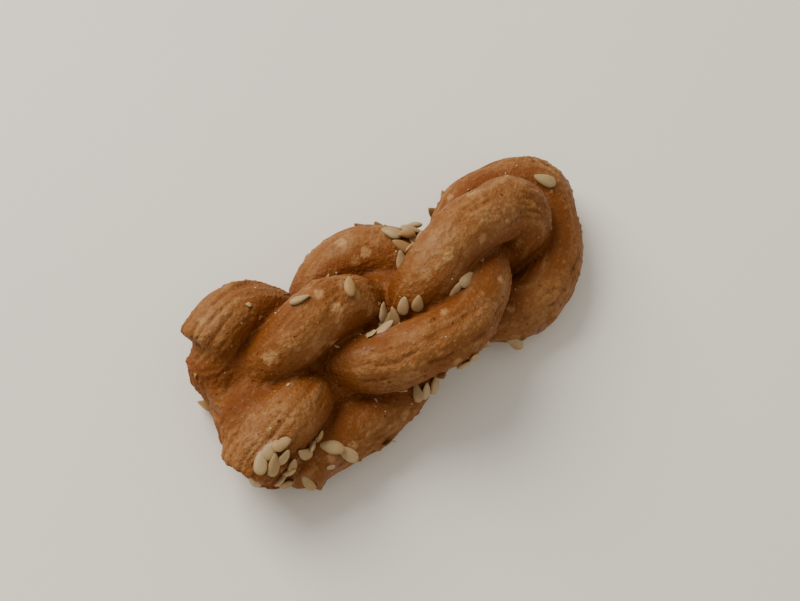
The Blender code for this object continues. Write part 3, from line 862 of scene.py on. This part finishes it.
def risen_dough(tree, area, place, clustering, most):
    """Round blisters, crowded in some areas."""
    dots = cells(tree, place)
    dome = ramp(tree, dots["Distance"], *DOME, 1.0, 0.0)
    limit = ramp(tree, noise(tree, area, clustering), *CROWDED_AREAS, 0.0, most)
    chosen = sum_up(tree, "SUBTRACT", limit, split(tree, dots["Color"])[0])
    return times(tree, dome, ramp(tree, chosen, *DOME_ONSET))


def glaze_spots(tree, place, frayed_by):
    """Frayed spots of dried glaze, a few of the cells of a pattern."""
    fraying = scaled(tree, noise(tree, frayed_by, GLAZE_FRAYED_FINENESS, output="Color"), GLAZE_FRAYED)
    spots = cells(tree, add(tree, "ShaderNodeVectorMath", {0: place, 1: fraying}, operation="ADD").outputs[0])
    chosen = ramp(tree, split(tree, spots["Color"])[1], *GLAZE_CHOSEN)
    return times(tree, ramp(tree, spots["Distance"], *GLAZE_SPOT, 1.0, 0.0), chosen)


def relief_tree():
    """What frying does to the skin: broad lumps, wrinkles along the strands, and blisters of two sizes."""
    tree, given, made = new_tree(
        "fried_relief", "GeometryNodeTree",
        {"Geometry": ["Dough"], "Float": RELIEF, "Material": ["Crust"]}, {"Geometry": ["Dough"]})
    open_share = stored(tree, "open")

    def in_sizes(name):
        """A point's place, measured in one of the sizes given."""
        return scaled(tree, point_place(tree), sum_up(tree, "DIVIDE", 1.0, given[name]))

    area = in_sizes("Lump Size")
    lumps = noise(tree, area, 1.0, 1.0)
    height = times(tree, sum_up(tree, "SUBTRACT", lumps, 0.5), given["Lump Height"])
    furrow = fine_wrinkles(tree, given, area)
    height = sum_up(tree, "SUBTRACT", height, times(tree, furrow, given["Wrinkle Depth"]))
    risen = []
    for kind, (most, clustering) in RISEN.items():
        risen.append(risen_dough(tree, area, in_sizes(kind + " Size"), clustering, most))
        height = sum_up(tree, "ADD", height, times(tree, risen[-1], given[kind + " Height"]))
    pressed = times(tree, stored(tree, "cut"), PRESSED_END_RELIEF)
    height = times(tree, height, sum_up(tree, "MAXIMUM", open_share, pressed))

    upward = ramp(tree, split(tree, point_normal(tree))[2], *FACING_UP)
    sticky = ramp(tree, noise(tree, area, STICKY_FINENESS), *STICKY_AREAS)
    crumbs = times(tree, times(tree, ramp(tree, open_share, *NEAR_CREASE), upward), sticky)
    sugar = sum_up(tree, "MAXIMUM", times(tree, sticky, SUGAR_IN_THE_OPEN), crumbs)
    shape = given["Dough"]
    for name, value in (("risen", sum_up(tree, "MAXIMUM", *risen)), ("furrow", furrow),
                        ("glaze", glaze_spots(tree, in_sizes("Glaze Spacing"), in_sizes("Pimple Size"))),
                        ("sugar", times(tree, upward, sugar)), ("crumbs", crumbs)):
        shape = marked(tree, shape, name, value)
    shape = moved(tree, shape, Offset=scaled(tree, point_normal(tree), height))
    low = split(tree, point_place(tree))
    level = add(tree, "ShaderNodeCombineXYZ", {0: low[0], 1: low[1], 2: sum_up(tree, "MAXIMUM", low[2], 0.0)})
    shape = moved(tree, shape, Position=level.outputs[0])
    shape = add(tree, "GeometryNodeSetShadeSmooth", {"Geometry": shape}).outputs[0]
    close_tree(tree, shape, given["Crust"], made["Dough"])
    return tree


# ---- the seeds ----

def seed_places():
    """Each seed's station, angle, distance beside the axis, rise on others and heading, from the trails."""
    draw = random.Random(SEED_RANDOM)
    places, spots = [], []
    for first, last, count, stray, heading in SEED_TRAILS.values():
        stray *= MM
        for number in range(count):
            share = number / (count - 1)
            station = first[0] * MM + (last[0] * MM - first[0] * MM) * share
            angle = math.radians(first[1] + (last[1] - first[1]) * share)
            swing = draw.uniform(0.0, 180.0)
            if heading is not None:
                swing = heading + draw.uniform(-SEED_SWING, SEED_SWING)
            for _ in range(SEED_TRIES):
                place = (station + draw.uniform(-stray, stray), angle, draw.uniform(-stray, stray))
                spot = Vector((place[0], angle * AXIS_HEIGHT + place[2]))
                apart = [(spot - other).length for other in spots]
                if min(apart, default=SEED_SPACING) >= SEED_SPACING:
                    below = sum(distance < SEED_NEIGHBOUR for distance in apart)
                    places.append((*place, SEED_RISE + SEED_STACK * below, math.radians(swing)))
                    spots.append(spot)
                    break
    return places


def surface_of(item):
    corners = [vertex.co for vertex in item.data.vertices]
    return BVHTree.FromPolygons(corners, [face.vertices for face in item.data.polygons])


def spot_on(surface, station, angle, beside=0.0):
    """Where a line in past the long axis meets the surface, and the surface's normal there."""
    outward = Vector((0.0, -math.cos(angle), math.sin(angle)))
    aside = Vector((0.0, math.sin(angle), math.cos(angle)))
    passed = SEED_AXIS + Vector((station, 0.0, 0.0)) + aside * beside
    spot, normal, _, _ = surface.ray_cast(passed + outward * OUTSIDE, -outward)
    return spot, normal


def points_object(name, places):
    """Loose points, each with its turn, size and shade: what a tree lays its pieces on."""
    mesh = bpy.data.meshes.new(name)
    mesh.from_pydata([spot for spot, _, _, _ in places], [], [])
    for field, data_type, values in (
            ("turn", "QUATERNION", [turn.to_quaternion() for _, turn, _, _ in places]),
            ("size", "FLOAT_VECTOR", [size for _, _, size, _ in places]),
            ("shade", "FLOAT", [shade for _, _, _, shade in places])):
        store(mesh, field, data_type, "vector" if data_type == "FLOAT_VECTOR" else "value",
              [tuple(value) if data_type != "FLOAT" else value for value in values])
    return add_object(name, mesh)


def lying(normal, heading):
    """A seed's turn: flat side on the surface, length along the heading, and uphill on steep sides."""
    length = Vector((math.cos(heading), math.sin(heading), SEED_CLIMB))
    length = (length - normal * normal.dot(length)).normalized()
    return Matrix((normal.cross(length), normal, length)).transposed()


def seeds_tree():
    """Sesame seeds on the points given: flat drops, narrower at one end, with a soft rim."""
    tree, given, made = new_tree(
        "sesame_seeds", "GeometryNodeTree",
        {"Geometry": ["Places"], "Float": SEED_FORM, "Material": ["Seed"]}, {"Geometry": ["Seeds"]})
    ball = add(tree, "GeometryNodeMeshUVSphere", {"Segments": SEED_SIDES, "Rings": SEED_RINGS, "Radius": 0.5})
    at = split(tree, point_place(tree))
    narrowed = times(tree, given["Taper"], sum_up(tree, "ADD", at[2], 0.5))
    narrowed = sum_up(tree, "SUBTRACT", 1.0, narrowed)
    sized = [times(tree, at[0], times(tree, narrowed, given["Width"])),
             times(tree, at[1], times(tree, narrowed, given["Thickness"])),
             times(tree, at[2], given["Length"])]
    drop = moved(tree, ball.outputs["Mesh"],
                 Position=add(tree, "ShaderNodeCombineXYZ", enumerate(sized)).outputs[0])
    drop = marked(tree, drop, "stained", SEED_STAINED_SHARE)
    laid = {"Points": given["Places"], "Instance": drop, "Rotation": stored(tree, "turn", "QUATERNION"),
            "Scale": stored(tree, "size", "FLOAT_VECTOR")}
    uneven = laid_unevenly(tree, laid, SEED_DENTS_PER_METRE, given["Unevenness"])
    smooth = add(tree, "GeometryNodeSetShadeSmooth", {"Geometry": uneven})
    close_tree(tree, smooth.outputs[0], given["Seed"], made["Seeds"])
    return tree


def sesame_seeds(dough, material):
    """The seeds, each lying on the dough."""
    surface = surface_of(dough)
    draw = random.Random(SEED_RANDOM + 1)
    tints = random.Random(SEED_RANDOM + 2)
    places = []
    for station, angle, beside, rise, heading in seed_places():
        tilt = Matrix.Rotation(draw.uniform(-SEED_TILT, SEED_TILT), 3, "X")
        size = Vector([draw.uniform(*SEED_SIZES) for _ in range(3)])
        spot, normal = spot_on(surface, station, angle, beside)
        if spot is None:
            continue
        facing = lying(normal, heading) @ tilt
        place = spot + normal * rise
        place.y = max(place.y, -SEEDS_WITHIN)
        places.append((place, facing, size, tints.random()))
    spots = points_object("seed_places", places)
    return grown(spots, seeds_tree(), {**SEED_FORM, "Seed": material}, "sesame_seeds")


def gathering_tree():
    """Glaze and dough drawn up a little round whatever is pressed into it; how near each point lies is stored
    for the crust, which darkens a ring there, partly glaze browning, partly painted shade.
    """
    tree, given, made = new_tree(
        "gathered_glaze", "GeometryNodeTree",
        {"Geometry": ["Dough"], "Object": ["Seeds"], "Float": GATHERING, "Material": ["Crust"]},
        {"Geometry": ["Dough"]})
    seeds = add(tree, "GeometryNodeObjectInfo", {"Object": given["Seeds"]}, transform_space="RELATIVE")
    near = add(tree, "GeometryNodeProximity", {0: seeds.outputs["Geometry"]}, target_element="FACES")
    gathered = ramp(tree, near.outputs["Distance"], 0.0, given["Reach"], 1.0, 0.0)
    rise = scaled(tree, point_normal(tree), times(tree, gathered, given["Rise"]))
    raised = moved(tree, marked(tree, given["Dough"], "gathered", gathered), Offset=rise)
    close_tree(tree, raised, given["Crust"], made["Dough"])
    return tree


# ---- sugar, crumbs and husks ----

def scatter_tree():
    """Small lumps scattered over the dough where its own share says so, each of its own size and shape."""
    tree, given, made = new_tree(
        "scattered_bits", "GeometryNodeTree",
        {"Geometry": ["Dough"], "String": ["Share"],
         "Float": ["How Many", "Apart", "Smallest", "Largest", "Flatness", "Unevenness"],
         "Int": ["Roundness", "Random"], "Material": ["Finish"]}, {"Geometry": ["Bits"]})
    share = add(tree, "GeometryNodeInputNamedAttribute", {"Name": given["Share"]}, data_type="FLOAT")
    spread = add(tree, "GeometryNodeDistributePointsOnFaces", {
        "Mesh": given["Dough"], "Distance Min": given["Apart"], "Density Max": given["How Many"],
        "Density Factor": share.outputs["Attribute"], "Seed": given["Random"]}, distribute_method="POISSON")
    ball = add(tree, "GeometryNodeMeshIcoSphere", {"Radius": 0.5, "Subdivisions": given["Roundness"]})

    def drawn(low, high, offset, data_type="FLOAT"):
        """A random value for each bit. Each offset gives draws of its own."""
        seed = sum_up(tree, "ADD", given["Random"], offset)
        node = add(tree, "FunctionNodeRandomValue", {"Seed": seed}, data_type=data_type)
        ports = (0, 1, 0) if data_type == "FLOAT_VECTOR" else (2, 3, 1)
        feed(tree, node.inputs[ports[0]], low)
        feed(tree, node.inputs[ports[1]], high)
        return node.outputs[ports[2]]

    size = drawn(given["Smallest"], given["Largest"], 1)
    squash = drawn(given["Flatness"], 1.0, 2)
    form = [size, times(tree, size, squash), times(tree, size, times(tree, squash, given["Flatness"]))]
    tilt = drawn((-BIT_TILT, -BIT_TILT, 0.0), (BIT_TILT, BIT_TILT, math.tau), 3, "FLOAT_VECTOR")
    turn = add(tree, "FunctionNodeRotateRotation", {
        "Rotation": spread.outputs["Rotation"], "Rotate By": tilt}, rotation_space="LOCAL")
    laid = {"Points": marked(tree, spread.outputs["Points"], "shade", drawn(0.0, 1.0, 4)),
            "Instance": ball.outputs["Mesh"], "Rotation": turn.outputs[0],
            "Scale": add(tree, "ShaderNodeCombineXYZ", enumerate(form)).outputs[0]}
    rough = laid_unevenly(tree, laid, KNOBS_PER_METRE, given["Unevenness"])
    close_tree(tree, rough, given["Finish"], made["Bits"])
    return tree


def scattered(dough, tree, name, material, values):
    """Bits of one kind on the dough, which itself stays as it is."""
    return grown(add_object(name, dough.data.copy()), tree, {**values, "Finish": material}, name)


def seed_husks(dough, material):
    """Thin curled skins of seeds, each a closed flake of its own outline."""
    surface = surface_of(dough)
    draw = random.Random(HUSK_RANDOM)
    form = bmesh.new()
    for station, angle, length in HUSKS.values():
        spot, normal = spot_on(surface, station * MM, math.radians(angle))
        flake = bmesh.ops.create_grid(form, x_segments=HUSK_STEPS, y_segments=HUSK_STEPS, size=0.5)["verts"]
        curl, turn = draw.uniform(*HUSK_CURL), draw.uniform(0.0, math.tau)
        facing = normal.to_track_quat("Z", "Y").to_matrix() @ Matrix.Rotation(turn, 3, "Z")
        place = Matrix.LocRotScale(spot + normal * HUSK_RISE, facing, Vector([length * MM] * 3))
        for vertex in flake:
            x, y = vertex.co.x * 2.0, vertex.co.y * 2.0
            narrow = HUSK_WIDTH * math.sqrt(max(1.0 - x * x, 0.0)) + HUSK_TIP
            wave = HUSK_WAVE * math.sin(HUSK_WAVES * x + turn)
            vertex.co = place @ Vector((0.5 * x, 0.5 * y * narrow, curl * (y * narrow) ** 2 + wave))
    bmesh.ops.solidify(form, geom=form.faces[:], thickness=HUSK_THICKNESS)
    bmesh.ops.recalc_face_normals(form, faces=form.faces)
    mesh = bpy.data.meshes.new("seed_husks")
    form.to_mesh(mesh)
    form.free()
    mesh.shade_smooth()
    mesh.materials.append(material)
    return add_object("seed_husks", mesh)


# ---- finishes ----

def browning_group():
    """Uneven browning, shared by everything that was fried: broad patches, fine specks and grain."""
    tree, given, made = new_tree(
        "browning", "ShaderNodeTree",
        {"Vector": ["Place"], "Float": ["Patch Size", "Speck Size"]},
        {"Float": ["Patches", "Specks", "Grain"]})
    place = given["Place"]

    def per(size):
        return sum_up(tree, "DIVIDE", 1.0, size)

    patches = ramp(tree, noise(tree, place, per(given["Patch Size"]), 3.0), *PATCHES)
    dots = cells(tree, place, per(given["Speck Size"]))
    chosen = ramp(tree, split(tree, dots["Color"])[0], *SPECKS_CHOSEN)
    specks = times(tree, ramp(tree, dots["Distance"], *SPECK, 1.0, 0.0), chosen)
    grain = noise(tree, place, per(times(tree, given["Speck Size"], GRAIN_SIZE)), 4.0, 0.6)
    put_out(tree, made, Patches=patches, Specks=specks, Grain=grain)
    return tree


def skin_group():
    """The fine skin of fried dough: crowded little bubbles, finer ones between them, and small pits, which
    the crust darkens with painted shade.
    """
    tree, given, made = new_tree(
        "fried_skin", "ShaderNodeTree",
        {"Vector": ["Place"], "Float": ["Bubble Size"]}, {"Float": ["Height", "Domes", "Pits"]})

    def bubbles(size_share, feature):
        per_metre = sum_up(tree, "DIVIDE", 1.0, times(tree, given["Bubble Size"], size_share))
        return cells(tree, given["Place"], per_metre, feature)

    areas = noise(tree, given["Place"], sum_up(tree, "DIVIDE", SKIN_AREA_SHARE, given["Bubble Size"]))
    domes = ramp(tree, bubbles(1.0, "SMOOTH_F1")["Distance"], *SKIN_DOME)
    domes = times(tree, domes, ramp(tree, areas, *SKIN_CROWDED))
    fine = ramp(tree, bubbles(SKIN_FINE_SIZE, "SMOOTH_F1")["Distance"], *SKIN_DOME)
    holes = bubbles(SKIN_PIT_SIZE, "F1")
    chosen = ramp(tree, split(tree, holes["Color"])[0], *SKIN_PITTED)
    pits = times(tree, ramp(tree, holes["Distance"], *SKIN_PIT), chosen)
    height = sum_up(tree, "ADD", domes, times(tree, fine, SKIN_FINE_HEIGHT))
    height = sum_up(tree, "SUBTRACT", height, times(tree, pits, SKIN_PIT_DEPTH))
    put_out(tree, made, Height=height, Domes=domes, Pits=pits)
    return tree


def new_material(name):
    """A new material, its tree, its shader, and the place on the piece."""
    material = bpy.data.materials.new(name)
    material.use_nodes = True
    tree = material.node_tree
    place = add(tree, "ShaderNodeTexCoord").outputs["Object"]
    return material, tree, tree.nodes["Principled BSDF"], place


def fried_finish(name, browning):
    """A new material with browning over it, whose roughness follows the grain."""
    material, tree, shader, place = new_material(name)
    patch_size, speck_size, roughness, _, _ = FINISHES[name]
    brown = add(tree, "ShaderNodeGroup", node_tree=browning)
    for socket, value in (("Place", place), ("Patch Size", patch_size), ("Speck Size", speck_size)):
        feed(tree, brown.inputs[socket], value)
    rough = ramp(tree, brown.outputs["Grain"], *GRAIN_RANGE, *roughness)
    tree.links.new(rough, shader.inputs["Roughness"])
    return material, tree, shader, brown.outputs


def roughened(material, height):
    """Puts relief too fine for the mesh on a material."""
    tree = material.node_tree
    *_, depth, strength = FINISHES[material.name]
    bump = add(tree, "ShaderNodeBump", {"Height": height, "Distance": depth, "Strength": strength})
    tree.links.new(bump.outputs[0], tree.nodes["Principled BSDF"].inputs["Normal"])


def crust_material(browning, fried_skin):
    """Fried crust: red-brown in the creases, caramel on the sides, golden on the crests, satin with glaze.
    Darker into the creases and round the seeds partly by browning, partly by painted shade; darker in the
    furrows, the pits and between the bubbles by painted shade.
    """
    material, tree, shader, brown = fried_finish("fried_crust", browning)
    skin = add(tree, "ShaderNodeGroup", node_tree=fried_skin)
    skin.inputs["Bubble Size"].default_value = BUBBLE_SIZE
    tree.links.new(add(tree, "ShaderNodeTexCoord").outputs["Object"], skin.inputs["Place"])
    skin = skin.outputs
    along = add(tree, "ShaderNodeVectorMath", {
        0: add(tree, "ShaderNodeAttribute", attribute_name="grain").outputs["Vector"],
        1: STREAK_PER_METRE}, operation="MULTIPLY").outputs[0]
    marks = {name: attribute(tree, name) for name in ("open", "furrow", "risen", "glaze", "gathered")}
    followed = {**marks, **dict(brown.items()), **dict(skin.items()), "streaks": noise(tree, along, 1.0, 3.0)}
    colour = CRUST_DEEP_BROWN_AND_PAINTED_SHADE
    for name, (over, source, share) in CRUST_LAYERS.items():
        eased = isinstance(share, tuple)
        share = ramp(tree, followed[source], *share) if eased else times(tree, followed[source], share)
        if name in ONLY_IN_THE_OPEN:
            share = times(tree, share, marks["open"])
        colour = blend(tree, share, colour, over)
    tree.links.new(colour, shader.inputs["Base Color"])
    wet = ramp(tree, brown["Patches"], *WET_PATCHES)
    wet = sum_up(tree, "ADD", wet, times(tree, marks["gathered"], WET_GATHERED))
    wet = times(tree, wet, ramp(tree, marks["open"], *WET_IN_THE_OPEN))
    tree.links.new(wet, shader.inputs["Coat Weight"])
    shader.inputs["Coat Roughness"].default_value = 0.28
    shader.inputs["Specular IOR Level"].default_value = 0.18
    shader.inputs["Specular Tint"].default_value = GLAZE_TINT
    roughened(material, sum_up(tree, "ADD", skin["Height"], times(tree, brown["Grain"], GRAIN_IN_SKIN)))
    return material


def seed_material(browning):
    """Hulled sesame: cream to olive, some of it toasted, whole seeds stained a little by the glaze."""
    material, tree, shader, brown = fried_finish("sesame", browning)
    shade = attribute(tree, "shade")
    toasted = ramp(tree, shade, *SEED_TOASTED_BY_SHADE)
    in_patches = ramp(tree, brown["Patches"], *SEED_TOASTED_IN_PATCHES)
    toasted = sum_up(tree, "ADD", toasted, in_patches, clamp=True)
    colour = SEED_PALE
    for share, over in (
            (ramp(tree, shade, *SEED_TURNS_OLIVE), SEED_OLIVE),
            (toasted, SEED_TOASTED),
            (ramp(tree, brown["Grain"], *SEED_TOASTED_IN_GRAIN), SEED_TOASTED),
            (attribute(tree, "stained"), SEED_STAINED)):
        colour = blend(tree, share, colour, over)
    tree.links.new(colour, shader.inputs["Base Color"])
    shader.inputs["Specular IOR Level"].default_value = 0.35
    roughened(material, brown["Grain"])
    return material


def sugar_material(browning):
    """Sugar crystals: pale and clear at once, stained a little by the glaze."""
    material, tree, shader, brown = fried_finish("sugar_crystals", browning)
    colour = blend(tree, times(tree, brown["Patches"], SUGAR_STAIN), SUGAR_WHITE, SUGAR_STAINED)
    tree.links.new(colour, shader.inputs["Base Color"])
    shader.inputs["Transmission Weight"].default_value = 0.25
    return material


def crumb_material(browning):
    """Loose crumbs of crust and bran, golden to dark."""
    material, tree, shader, brown = fried_finish("crust_crumbs", browning)
    colour = blend(tree, attribute(tree, "shade"), CRUST_DARK_BROWN_AND_PAINTED_SHADE, CRUST_GOLDEN)
    colour = blend(tree, ramp(tree, brown["Grain"], *CRUMB_GRAIN), colour, CRUST_SIDE)
    tree.links.new(colour, shader.inputs["Base Color"])
    roughened(material, brown["Grain"])
    return material


def husk_material(browning):
    """Seed husks: thin, straw-coloured skins with darker veins."""
    material, tree, shader, brown = fried_finish("seed_husks", browning)
    tree.links.new(blend(tree, brown["Patches"], HUSK_DARK, HUSK_STRAW), shader.inputs["Base Color"])
    roughened(material, brown["Grain"])
    return material


# ---- the floor, the lights and the camera ----

def pale_floor():
    """A plain pale floor with a little unevenness in its colour."""
    mesh = bpy.data.meshes.new("floor")
    form = bmesh.new()
    bmesh.ops.create_grid(form, x_segments=1, y_segments=1, size=FLOOR_SIZE / 2)
    form.to_mesh(mesh)
    form.free()
    material, tree, shader, place = new_material("pale_floor")
    cloud = ramp(tree, noise(tree, place, FLOOR_CLOUDS_PER_METRE), *FLOOR_CLOUDED)
    tree.links.new(blend(tree, cloud, FLOOR_COLOUR, FLOOR_CLOUD), shader.inputs["Base Color"])
    shader.inputs["Roughness"].default_value = 0.7
    mesh.materials.append(material)
    add_object("floor", mesh)


def studio_camera():
    """The camera at the photo's viewing angle."""
    camera = bpy.data.cameras.new("camera")
    camera.lens = CAMERA_LENS
    camera.clip_start = 10.0 * MM
    item = add_object("camera", camera)
    facing = (CAMERA_AIM - CAMERA_PLACE).to_track_quat("-Z", "Y").to_matrix()
    item.matrix_world = Matrix.LocRotScale(CAMERA_PLACE, facing @ Matrix.Rotation(CAMERA_ROLL, 3, "Z"), None)
    bpy.context.scene.camera = item
    return item


def soft_lights(camera):
    """Soft light from above and to the left of the view, and a pale room all round."""
    for name, (direction, distance, size, power) in LIGHTS.items():
        light = bpy.data.lights.new(name, "AREA")
        light.shape = "DISK"
        light.size = size
        light.energy = power
        light.color = LIGHT_COLOUR
        item = add_object(name, light)
        towards = camera.matrix_world.to_3x3() @ Vector(direction).normalized()
        place = CAMERA_AIM + towards * distance
        item.matrix_world = Matrix.LocRotScale(place, (-towards).to_track_quat("-Z", "Y"), None)
    world = bpy.data.worlds.new("room")
    world.use_nodes = True
    background = world.node_tree.nodes["Background"]
    background.inputs["Color"].default_value = ROOM_COLOUR
    background.inputs["Strength"].default_value = ROOM_STRENGTH
    bpy.context.scene.world = world


def main():
    routes = strand_routes()
    shift = place_in_frame(routes)
    browning = browning_group()
    plain = add_object("plain_dough", shaped_dough(routes, shift))
    crust = crust_material(browning, skin_group())
    fried = grown(plain, relief_tree(), {**RELIEF, "Crust": crust}, "fried_dough")
    bits = scatter_tree()
    seed = seed_material(browning)
    seeds = sesame_seeds(fried, seed)
    dough = grown(fried, gathering_tree(), {**GATHERING, "Seeds": seeds, "Crust": crust}, "dough")
    pieces = [
        dough,
        seeds,
        scattered(dough, bits, "seed_chips", seed, CHIPS),
        scattered(dough, bits, "sugar_grains", sugar_material(browning), SUGAR),
        scattered(dough, bits, "crust_crumbs", crumb_material(browning), CRUMBS),
        seed_husks(dough, husk_material(browning)),
    ]
    for piece in pieces:
        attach(piece, "root")
        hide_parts("dough_twist")
    pale_floor()
    soft_lights(studio_camera())


main()
